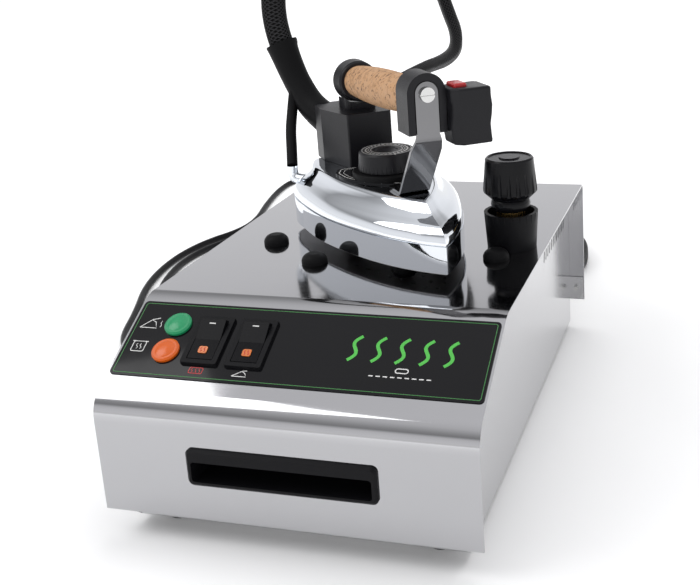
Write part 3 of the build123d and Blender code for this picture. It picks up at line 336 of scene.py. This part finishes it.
def cork_material():
    m = bpy.data.materials.new("cork")
    m.use_nodes = True
    nodes, links = m.node_tree.nodes, m.node_tree.links
    shader = nodes["Principled BSDF"]
    place = nodes.new("ShaderNodeTexCoord")
    cells = nodes.new("ShaderNodeTexVoronoi")
    cells.inputs["Scale"].default_value = 330.0
    links.new(place.outputs["Object"], cells.inputs["Vector"])
    warm = nodes.new("ShaderNodeValToRGB")
    warm.color_ramp.elements[0].position = 0.0
    warm.color_ramp.elements[0].color = (0.20, 0.098, 0.042, 1)
    warm.color_ramp.elements[1].position = 1.0
    warm.color_ramp.elements[1].color = (0.46, 0.275, 0.150, 1)
    middle = warm.color_ramp.elements.new(0.35)
    middle.color = (0.47, 0.26, 0.12, 1)
    links.new(cells.outputs["Color"], warm.inputs["Fac"])
    specks = nodes.new("ShaderNodeTexNoise")
    specks.inputs["Scale"].default_value = 420.0
    specks.inputs["Detail"].default_value = 6.0
    links.new(place.outputs["Object"], specks.inputs["Vector"])
    dark = nodes.new("ShaderNodeValToRGB")
    dark.color_ramp.elements[0].position = 0.34
    dark.color_ramp.elements[0].color = (0.10, 0.045, 0.02, 1)
    dark.color_ramp.elements[1].position = 0.43
    dark.color_ramp.elements[1].color = (1, 1, 1, 1)
    links.new(specks.outputs["Fac"], dark.inputs["Fac"])
    mix = nodes.new("ShaderNodeMix")
    mix.data_type = "RGBA"
    mix.blend_type = "MULTIPLY"
    mix.inputs["Factor"].default_value = 0.85
    links.new(warm.outputs["Color"], mix.inputs["A"])
    links.new(dark.outputs["Color"], mix.inputs["B"])
    links.new(mix.outputs["Result"], shader.inputs["Base Color"])
    rough = nodes.new("ShaderNodeMapRange")
    rough.inputs["To Min"].default_value = 0.75
    rough.inputs["To Max"].default_value = 0.5
    links.new(specks.outputs["Fac"], rough.inputs["Value"])
    links.new(rough.outputs["Result"], shader.inputs["Roughness"])
    bump = nodes.new("ShaderNodeBump")
    bump.inputs["Strength"].default_value = 0.55
    bump.inputs["Distance"].default_value = 0.0006
    links.new(specks.outputs["Fac"], bump.inputs["Height"])
    links.new(bump.outputs["Normal"], shader.inputs["Normal"])
    return m


def braid_material():
    """Two sets of crossing strands, one passing over the other, with a painted highlight on their crests and
    painted shade between them.
    """
    m = bpy.data.materials.new("braid")
    m.use_nodes = True
    nodes, links = m.node_tree.nodes, m.node_tree.links
    shader = nodes["Principled BSDF"]
    place = nodes.new("ShaderNodeUVMap")
    place.uv_map = "along"
    split = nodes.new("ShaderNodeSeparateXYZ")
    links.new(place.outputs["UV"], split.inputs[0])

    def math_node(kind, a, b=None):
        n = nodes.new("ShaderNodeMath")
        n.operation = kind
        for i, v in enumerate((a, b)):
            if v is None:
                continue
            if isinstance(v, (int, float)):
                n.inputs[i].default_value = v
            else:
                links.new(v, n.inputs[i])
        return n.outputs[0]

    pitch = 2 * math.pi / 0.0064
    plus = math_node("ADD", split.outputs["X"], split.outputs["Y"])
    minus = math_node("SUBTRACT", split.outputs["X"], split.outputs["Y"])
    one = math_node("SINE", math_node("MULTIPLY", plus, pitch))
    two = math_node("SINE", math_node("MULTIPLY", minus, pitch))
    height = math_node("MAXIMUM", math_node("ABSOLUTE", one), math_node("ABSOLUTE", two))
    strands = math_node("ABSOLUTE", math_node("SINE", math_node("MULTIPLY", plus, pitch * 3)))
    both = math_node("ADD", height, math_node("MULTIPLY", strands, 0.35))
    # Colour follows strand height: a painted highlight on the strand crests and painted shade, near black, in
    # the gaps between strands.
    ramp = nodes.new("ShaderNodeValToRGB")
    ramp.color_ramp.elements[0].position = 0.74
    ramp.color_ramp.elements[0].color = (0.0015, 0.0015, 0.0015, 1)
    ramp.color_ramp.elements[1].position = 1.0
    ramp.color_ramp.elements[1].color = (0.050, 0.050, 0.053, 1)
    links.new(math_node("MULTIPLY", both, 0.75), ramp.inputs["Fac"])
    links.new(ramp.outputs["Color"], shader.inputs["Base Color"])
    shader.inputs["Roughness"].default_value = 0.42
    shader.inputs["Specular IOR Level"].default_value = 0.08
    bump = nodes.new("ShaderNodeBump")
    bump.inputs["Strength"].default_value = 1.0
    bump.inputs["Distance"].default_value = 0.0010
    links.new(both, bump.inputs["Height"])
    links.new(bump.outputs["Normal"], shader.inputs["Normal"])
    return m


CORK = cork_material()
BRAID = braid_material()


def wear(o, material):
    o.data.materials.clear()
    o.data.materials.append(material)


LOOKS = {
    STEEL: "cover_shell", TRAY: "chassis_tray boiler_saddles", CHROME: "iron_skirt iron_cover steam_elbow",
    BRACKET: "front_bracket", ALU: "sole_plate heater_block safety_thermostat",
    RUBBER: "feet rest_studs dial_base hose_boot branch_tube",
    DULL: "pull_handle switch_housings filler_collar cord_gland hose_gland microswitch",
    BAKELITE: "filler_cap", HANDLE: "dial_knob front_cap rear_cap rear_hood switch_box",
    GLOSS: "control_label badge_plate", ROCKER: "boiler_rocker iron_rocker",
    AMBER: "boiler_rocker_window iron_rocker_window", GREEN: "green_lamp", ORANGE: "orange_lamp",
    RED: "steam_button",
    BRASS: "filler_neck valve_body pressure_switch", COPPER: "filler_pipe steam_pipe", BLUE: "valve_coil",
    SILICONE: "cap_seal", CERAMIC: "terminal_block iron_thermostat",
    ZINC: "cover_screws bracket_screws handle_rod dial_spindle valve_plunger valve_spring boiler_tank "
          "boiler_element "
          "heating_rod",
    CORK: "cork_grip", LEAD: "power_cord mains_plug", BRAID: "hose_upper hose_lower hose_coil",
}
for material, names in LOOKS.items():
    for name in names.split():
        wear(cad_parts[name], material)

# ---------------------------------------------------------------- the valve's spring, a copy of its CAD mesh
spring_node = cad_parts["valve_spring"]
spring = bpy.data.objects.new("spring_shown", spring_node.data.copy())
scene.collection.objects.link(spring)
spring.matrix_world = spring_node.matrix_world
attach(spring, "base")
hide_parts("valve_spring")
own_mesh(spring)

wear(steam_hose, BRAID)
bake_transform(steam_hose)
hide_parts("hose_upper", "hose_lower", "hose_coil")
power_lead.data.materials.append(LEAD)
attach(power_lead, "base")
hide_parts("power_cord")

# ---------------------------------------------------------------- printed marks
def top_of(node, place):
    """How far a CAD node reaches along a plane's normal."""
    back = place.inverted()
    return max((back @ v.co).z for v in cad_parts[node].data.vertices)


class Print:
    """Thin raised ink: strokes and filled shapes on one plane, in millimetres."""

    def __init__(self, name, place, height, material, body, slot):
        self.name, self.place, self.height = name, place, height
        self.material, self.body, self.slot = material, body, slot
        self.verts, self.faces = [], []

    def shape(self, outline, tilt=0.0):
        start, n = len(self.verts), len(outline)
        for lift in (-0.00002, 0.00007):
            for u, v in outline:
                z = self.height + lift + tilt * v * 0.001
                self.verts.append(self.place @ Vector((u * 0.001, v * 0.001, z)))
        self.faces.append([start + n + k for k in range(n)])
        self.faces.append([start + k for k in reversed(range(n))])
        for k in range(n):
            m = (k + 1) % n
            self.faces.append((start + k, start + m, start + n + m, start + n + k))

    def stroke(self, points, width, closed=False, tilt=0.0):
        n = len(points)
        sides = []
        for i, (u, v) in enumerate(points):
            a = points[(i - 1) % n] if closed or i else points[i]
            b = points[(i + 1) % n] if closed or i < n - 1 else points[i]
            du, dv = b[0] - a[0], b[1] - a[1]
            size = math.hypot(du, dv) or 1.0
            nu, nv = -dv / size * width / 2, du / size * width / 2
            sides.append(((u + nu, v + nv), (u - nu, v - nv)))
        pairs = list(zip(sides, sides[1:] + sides[:1])) if closed else list(zip(sides, sides[1:]))
        for (a, b), (c, d) in pairs:
            self.shape([b, d, c, a], tilt)

    def done(self):
        o = new_mesh(self.name, self.verts, self.faces, smooth=False)
        wear(o, self.material)
        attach(o, self.body)
        return o


def rounded(u0, v0, u1, v1, r, steps=6):
    corners = ((u1 - r, v1 - r, 0), (u0 + r, v1 - r, 90), (u0 + r, v0 + r, 180), (u1 - r, v0 + r, 270))
    points = []
    for cu, cv, a in corners:
        for k in range(steps + 1):
            t = math.radians(a + 90 * k / steps)
            points.append((cu + r * math.cos(t), cv + r * math.sin(t)))
    return points


def wave(u, v, length, height, lean, cycles=1.0, steps=18):
    points = []
    for k in range(steps + 1):
        t = k / steps
        swing = length * 0.5 * math.sin(2 * math.pi * cycles * t)
        points.append((u + lean * t * height + swing, v + height * t))
    return points


label_top = top_of("control_label", PANEL)
border = Print("label_border", PANEL, label_top, LINE_GREEN, "base", "green_lens")
border.stroke(rounded(-121.2, -28.6, 121.2, 28.6, 1.5), 0.5, closed=True)
border.done()
green = Print("label_green", PANEL, label_top, PRINT_GREEN, "base", "green_lens")
for k in range(5):
    green.stroke(wave(32 + 15.5 * k, -6.5, 5.5, 19.0, 0.30), 2.3)
green.done()

white = Print("label_white", PANEL, label_top, WHITE, "base", "terminal_white")
white.stroke(rounded(-116.5, -11.5, -107.5, -3.5, 1.2), 0.55, closed=True)
white.stroke([(-117.6, -3.4), (-106.4, -3.4)], 0.6)
white.stroke(wave(-113.2, -9.6, 1.4, 4.2, 0.0), 0.4)
white.stroke(wave(-110.6, -9.6, 1.4, 4.2, 0.0), 0.4)
white.stroke([(-118.0, 8.0), (-106.0, 8.0), (-108.2, 13.0), (-111.6, 14.6), (-118.0, 8.0)], 0.55)
white.stroke([(-111.4, 14.8), (-106.2, 16.4)], 0.55)
white.stroke(wave(-103.8, 9.0, 1.0, 5.0, 0.0), 0.4)
white.stroke([(-39.0, -25.2), (-29.4, -25.2), (-30.6, -22.6), (-33.2, -21.2), (-39.0, -25.2)], 0.5)
white.stroke([(-33.0, -21.0), (-29.8, -20.6)], 0.5)
for k in range(9):
    left = 49 + 4.6 * k
    white.shape([(left, -17.4), (left + 2.8, -17.4), (left + 2.8, -16.6), (left, -16.6)])
white.stroke(rounded(65.0, -13.6, 73.0, -10.4, 1.5), 0.7, closed=True)
white.done()

red = Print("label_red", PANEL, label_top, PRINT_RED, "base", "button_red")
red.stroke(rounded(-69.0, -25.4, -59.8, -21.0, 0.8), 0.5, closed=True)
for k in range(3):
    red.stroke(wave(-67.0 + 2.6 * k, -24.6, 0.9, 2.8, 0.0), 0.4)
red.done()

for name, body, u in (("boiler", "boiler_switch", -64.4), ("iron", "iron_switch", -33.9)):
    mark = Print(f"{name}_rocker_mark", PANEL, 0.003, WHITE, body, "terminal_white")
    mark.stroke([(u - 2.2, 11.2), (u + 2.2, 11.2)], 0.7, tilt=0.23)
    mark.done()
    glow = Print(f"{name}_neon", PANEL, top_of(f"{name}_rocker_window", PANEL), RED, body, "button_red")
    glow.stroke(wave(u - 1.2, -10.2, 0.9, 3.2, 0.0), 0.45, tilt=0.0)
    glow.stroke(wave(u + 1.2, -10.2, 0.9, 3.2, 0.0), 0.45, tilt=0.0)
    glow.done()

back = IRON.inverted()
flat = [back @ v.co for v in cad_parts["badge_plate"].data.vertices]
badge_top = max(p.z for p in flat)
edge = {(round(p.x * 1000, 3), round(p.y * 1000, 3)) for p in flat if p.z > badge_top - 1e-5}
edge = [p for p in edge if math.hypot(p[0] - 112, p[1]) > 7]
edge.sort(key=lambda p: math.atan2(p[1], p[0] - 118))
badge = Print("badge_lines", IRON, badge_top, WHITE, "iron", "terminal_white")
badge.stroke([(118 + (x - 118) * 0.93, y * 0.93) for x, y in edge], 0.6, closed=True)
badge.stroke([(118 + (x - 118) * 0.84, y * 0.84) for x, y in edge], 0.35, closed=True)
for k in range(13):
    a = math.radians(120 + 10 * k)
    inner, outer = 23.6, 25.2 if k % 3 else 26.4
    badge.stroke([(112 + r * math.cos(a), r * math.sin(a)) for r in (inner, outer)], 0.55)
badge.done()

dial_top = top_of("dial_knob", IRON)
dial = Print("dial_print", IRON, dial_top, WHITE, "dial", "terminal_white")
DIAL_RINGS = [(18.3, 0.35, 1.0, 40), (15.6, 1.1, 0.55, 30), (11.8, 0.35, 1.0, 40), (13.6, 0.6, 0.3, 24)]
for ring, width, share, count in DIAL_RINGS:
    for k in range(count):
        a = 2 * math.pi * k / count
        b = a + 2 * math.pi / count * share
        dial.stroke([(112 + ring * math.cos(a + (b - a) * t / 3), ring * math.sin(a + (b - a) * t / 3))
                     for t in range(4)], width)
dial.stroke([(112 - 19.6, 0), (112 - 17.6, 0)], 1.1)
dial.done()


# ---------------------------------------------------------------- iron cover, drawn with its shoulders
def catmull(points, t):
    """A smooth curve through points, t from 0 to the last point's number."""
    i = max(0, min(len(points) - 2, int(t)))
    f = t - i
    p0, p1 = points[max(i - 1, 0)], points[i]
    p2, p3 = points[i + 1], points[min(i + 2, len(points) - 1)]
    return [0.5 * (2 * b + (c - a) * f + (2 * a - 5 * b + 4 * c - d) * f * f
                   + (3 * b - a - 3 * c + d) * f ** 3)
            for a, b, c, d in zip(p0, p1, p2, p3)]


def sole_side(tip, rear, half, corner, steps=44):
    """One side of the iron's outline, from its tip to the middle of its rear edge."""
    length = rear - tip
    knots = [(tip, 0.0)] + [(tip + t * length, h * half) for t, h in (
        (0.04, 0.128), (0.1, 0.300), (0.25, 0.606), (0.5, 0.905), (0.74, 1.0), (0.87, 0.985))]
    knots += [(rear - corner, 0.93 * half), (rear - 0.26 * corner, 0.93 * half - 0.36 * corner),
              (rear, 0.93 * half - corner), (rear, 0.45 * half), (rear, 0.0)]
    return [catmull(knots, k * (len(knots) - 1) / steps) for k in range(steps + 1)]


COVER = [
    (27.5, 0.9, 0.9, 16.0), (28.1, 0.5, 0.2, 16.0), (31.0, 1.1, 0.4, 16.0), (34.5, 3.0, 1.4, 16.0),
    (37.6, 6.6, 3.6, 16.0), (39.4, 10.0, 6.0, 15.0), (40.6, 13.8, 8.4, 15.0), (42.0, 18.4, 10.8, 14.0),
    (44.6, 24.5, 13.6, 13.0), (47.6, 29.6, 15.6, 12.0), (49.7, 32.8, 16.8, 11.0), (50.8, 35.8, 18.4, 10.0),
    (51.0, 39.0, 20.5, 9.0),
]


def cover_ring(level):
    z, inset_tip, inset, corner = level
    side = sole_side(inset_tip, 207.0 - inset * 0.5 - 0.4, 57.0 - inset, corner)
    ring = side + [(s, -o) for s, o in reversed(side[1:-1])]
    return [IRON @ Vector((s * 0.001, o * 0.001, z * 0.001)) for s, o in ring]


fine = [catmull(COVER, k * (len(COVER) - 1) / 48) for k in range(49)]
rings = [cover_ring(level) for level in fine]
around = len(rings[0])
verts = [v for ring in rings for v in ring]
faces = []
for i in range(len(rings) - 1):
    for k in range(around):
        n = (k + 1) % around
        faces.append((i * around + k, (i + 1) * around + k, (i + 1) * around + n, i * around + n))
faces.append(tuple((len(rings) - 1) * around + k for k in reversed(range(around))))
faces.append(tuple(range(around)))
skin = new_mesh("cover_skin", verts, faces)
for e in skin.data.edges:
    a, b = e.vertices
    e.use_edge_sharp = a % around == 0 and b % around == 0
skin.data.polygons[len(faces) - 1].use_smooth = False
skin.data.polygons[len(faces) - 2].use_smooth = False
for e in skin.data.edges:
    a, b = e.vertices
    if a // around == b // around and a // around in (0, len(rings) - 1):
        e.use_edge_sharp = True
bm = bmesh.new()
bm.from_mesh(skin.data)
bmesh.ops.recalc_face_normals(bm, faces=bm.faces)
bm.to_mesh(skin.data)
bm.free()
wear(skin, CHROME)
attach(skin, "iron")
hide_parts("iron_cover")


# ---------------------------------------------------------------- moulded pieces of the handle
def moulded(name, outline, z0, z1, place, bevel, segments, material, body, replaced,
            draft=0.0, wobble=None):
    """An outline in millimetres drawn up from z0 to z1 in a frame, its edges rounded."""
    bm = bmesh.new()
    levels = 7
    mid = (sum(p[0] for p in outline) / len(outline), sum(p[1] for p in outline) / len(outline))
    rows = []
    for i in range(levels):
        t = i / (levels - 1)
        grow = 1.0 + draft * (t - 0.5)
        shift = wobble(t) if wobble else (0.0, 0.0)
        rows.append([bm.verts.new(place @ Vector((
            (mid[0] + (u - mid[0]) * grow + shift[0]) * 0.001,
            (mid[1] + (v - mid[1]) * grow + shift[1]) * 0.001,
            (z0 + (z1 - z0) * t) * 0.001))) for u, v in outline])
    n = len(outline)
    for a, b in zip(rows, rows[1:]):
        for k in range(n):
            bm.faces.new((a[k], a[(k + 1) % n], b[(k + 1) % n], b[k]))
    bm.faces.new(rows[-1])
    bm.faces.new(list(reversed(rows[0])))
    bmesh.ops.recalc_face_normals(bm, faces=bm.faces)
    data = bpy.data.meshes.new(name)
    bm.to_mesh(data)
    bm.free()
    o = bpy.data.objects.new(name, data)
    scene.collection.objects.link(o)
    round_off = o.modifiers.new("round", "BEVEL")
    round_off.width = bevel
    round_off.segments = segments
    round_off.limit_method = "ANGLE"
    round_off.angle_limit = math.radians(32)
    data.polygons.foreach_set("use_smooth", [True] * len(data.polygons))
    even = o.modifiers.new("even", "WEIGHTED_NORMAL")
    even.keep_sharp = True
    wear(o, material)
    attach(o, body)
    if replaced:
        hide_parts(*replaced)
    return o


def loft_tube(name, stations, material, body, replaced=(), around=32):
    """A closed tube through stations of (point, half width, half depth, direction of the width)."""
    verts, faces = [], []
    count = 10 * (len(stations) - 1) + 1
    flat = [[*p, a, b, *w] for p, a, b, w in stations]
    line = [catmull(flat, k * (len(flat) - 1) / (count - 1)) for k in range(count)]
    for i, row in enumerate(line):
        ahead = Vector(line[min(i + 1, count - 1)][:3]) - Vector(line[max(i - 1, 0)][:3])
        ahead.normalize()
        wide = Vector(row[5:8])
        wide = (wide - ahead * wide.dot(ahead)).normalized()
        deep = ahead.cross(wide)
        for k in range(around):
            a = 2 * math.pi * k / around
            out = wide * row[3] * math.cos(a) + deep * row[4] * math.sin(a)
            verts.append((Vector(row[:3]) + out) * 0.001)
    for i in range(count - 1):
        for k in range(around):
            n = (k + 1) % around
            faces.append((i * around + k, i * around + n, (i + 1) * around + n, (i + 1) * around + k))
    faces.append(tuple(reversed(range(around))))
    faces.append(tuple((count - 1) * around + k for k in range(around)))
    o = new_mesh(name, verts, faces)
    wear(o, material)
    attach(o, body)
    if replaced:
        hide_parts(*replaced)
    return o


box_outline = [(9.6, -41.2), (31.5, -41.2), (34.4, -38.0), (34.4, -16.5),
               (31.5, -14.4), (14.8, -14.4), (9.8, -19.5)]
shell = moulded("switch_shell", box_outline, 91.4, 129.6, IRON, 0.0038, 5, HANDLE, "iron",
                ["switch_box"], draft=0.05, wobble=lambda t: (0.0, -0.7 * math.cos(3.2 * math.pi * t)))


def cut_well(o, node, clearance, travel):
    """Cuts a well in o for a CAD node that sinks into it, then makes the result o's own mesh."""
    near = [IRON.inverted() @ v.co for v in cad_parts[node].data.vertices]
    low = [min(p[i] for p in near) - clearance for i in range(3)]
    high = [max(p[i] for p in near) + clearance for i in range(3)]
    low[2] -= travel
    high[2] += travel
    corners = [IRON @ Vector((x, y, z)) for z in (low[2], high[2]) for x, y in (
        (low[0], low[1]), (high[0], low[1]), (high[0], high[1]), (low[0], high[1]))]
    sides = [(k, (k + 1) % 4, 4 + (k + 1) % 4, 4 + k) for k in range(4)]
    cutter = new_mesh("cutter", corners, [(3, 2, 1, 0), (4, 5, 6, 7), *sides], smooth=False)
    cut = o.modifiers.new("well", "BOOLEAN")
    cut.operation = "DIFFERENCE"
    cut.solver = "EXACT"
    cut.object = cutter
    bpy.context.view_layer.update()
    finished = bpy.data.meshes.new_from_object(o.evaluated_get(bpy.context.evaluated_depsgraph_get()))
    o.modifiers.clear()
    o.data = finished
    bpy.data.objects.remove(cutter)


WELL_GAP, WELL_DEPTH = 0.0004, 0.0030
cut_well(shell, "steam_button", WELL_GAP, WELL_DEPTH)

CAM_SIDE = (0.958, 0.287, 0.0)
loft_tube("boot_skin", [
    ((-44, 64.5, 205.5), 13.0, 15.0, CAM_SIDE), ((-62, 72, 212.5), 12.5, 13.5, CAM_SIDE),
    ((-80, 80, 224), 11.6, 11.6, CAM_SIDE), ((-92.5, 86, 240), 11.0, 10.4, CAM_SIDE),
    ((-100.6, 89.8, 255), 11.4, 10.0, CAM_SIDE), ((-105.5, 91.8, 266.5), 12.2, 10.4, CAM_SIDE),
    ((-107.3, 92.8, 271.4), 13.2, 11.2, CAM_SIDE), ((-107.9, 93.0, 273.0), 13.0, 11.0, CAM_SIDE),
], RUBBER, "iron", ["hose_boot"])

# ---------------------------------------------------------------- studio
floor = new_mesh("floor", [(-6, -6, 0), (6, -6, 0), (6, 6, 0), (-6, 6, 0)], [(0, 1, 2, 3)], smooth=False)
PAPER = paint("paper_floor", (0.92, 0.92, 0.92), 0.9, grain=0.02, grain_scale=30, tint=0.01, specular=0.1)
nodes, links = PAPER.node_tree.nodes, PAPER.node_tree.links
# Painted light: the floor glows white, more strongly the further it lies from the machine, brightening the floor
# and the shadow the key light casts to its right.
where_on_floor = nodes.new("ShaderNodeTexCoord")
away = nodes.new("ShaderNodeVectorMath")
away.operation = "LENGTH"
links.new(where_on_floor.outputs["Object"], away.inputs[0])
lift = nodes.new("ShaderNodeMapRange")
for socket, value in (("From Min", 0.30), ("From Max", 1.10), ("To Min", 0.05), ("To Max", 0.40)):
    lift.inputs[socket].default_value = value
links.new(away.outputs["Value"], lift.inputs["Value"])
nodes["Principled BSDF"].inputs["Emission Color"].default_value = (1, 1, 1, 1)
links.new(lift.outputs["Result"], nodes["Principled BSDF"].inputs["Emission Strength"])
wear(floor, PAPER)

world = bpy.data.worlds.new("studio")
world.use_nodes = True
scene.world = world
nodes, links = world.node_tree.nodes, world.node_tree.links
sky = nodes["Background"]
direction = nodes.new("ShaderNodeTexCoord")
axes = nodes.new("ShaderNodeSeparateXYZ")
links.new(direction.outputs["Generated"], axes.inputs[0])
ramp = nodes.new("ShaderNodeValToRGB")
ramp.color_ramp.elements[0].position = 0.0
ramp.color_ramp.elements[0].color = (1.0, 1.0, 1.0, 1)
ramp.color_ramp.elements[1].position = 1.0
ramp.color_ramp.elements[1].color = (0.95, 0.95, 0.97, 1)
for where, level in ((0.12, 1.0), (0.24, 0.94), (0.34, 0.86), (0.46, 0.36), (0.60, 0.50), (0.80, 0.80)):
    ramp.color_ramp.elements.new(where).color = (level, level, level * 1.02, 1)
links.new(axes.outputs["Z"], ramp.inputs["Fac"])
links.new(ramp.outputs["Color"], sky.inputs["Color"])
sky.inputs["Strength"].default_value = 1.0


def softbox(name, place, aim, size, power, mirrored):
    data = bpy.data.lights.new(name, "AREA")
    data.shape = "RECTANGLE"
    data.size, data.size_y = size
    data.energy = power
    o = bpy.data.objects.new(name, data)
    o.location = place
    o.visible_glossy = mirrored
    o.rotation_euler = (Vector(aim) - Vector(place)).to_track_quat("-Z", "Y").to_euler()
    scene.collection.objects.link(o)


softbox("key", (-1.2, -0.6, 1.6), (0, 0, 0.1), (1.2, 1.2), 11, True)
softbox("top", (0.2, 0.5, 2.0), (0, 0.1, 0.1), (1.6, 1.0), 13, False)
softbox("front", (0.6, -2.2, 0.9), (0, 0, 0.1), (1.4, 1.0), 7, False)
